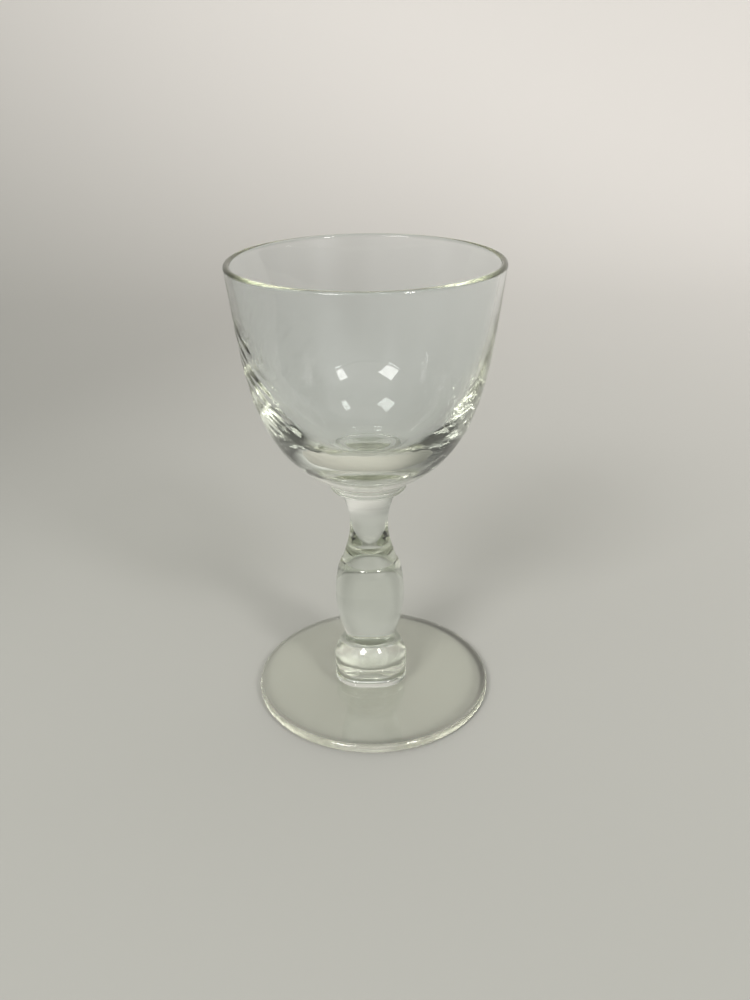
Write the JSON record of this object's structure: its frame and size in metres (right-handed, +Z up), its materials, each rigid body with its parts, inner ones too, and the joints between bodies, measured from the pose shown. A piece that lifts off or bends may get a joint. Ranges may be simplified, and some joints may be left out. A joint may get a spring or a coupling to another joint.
{
  "type": "sherry glass",
  "caption": "Small stemmed drinking glass: round bowl on a collar, waisted neck, barrel knop, cushion knop, wafer and round foot.",
  "frame": {"origin": "centre of the foot, on the surface that the glass stands on", "axes": "+Z up along the axis of the glass, +X and +Y across it"},
  "size_m": [0.0608, 0.0608, 0.11],
  "materials": {
    "bowl_glass": "clear, smooth, fire-polished, faint grey-green tint where it is thick",
    "stem_glass": "clear, smooth, solid, faint grey-green tint",
    "foot_glass": "clear, smooth, solid, faint grey-green tint"
  },
  "bodies": {
    "root": {"bowl": "bowl_glass", "collar": "stem_glass", "neck": "stem_glass", "barrel_knop": "stem_glass", "base_knop": "stem_glass", "wafer": "stem_glass", "foot": "foot_glass"}
  },
  "joints": []
}
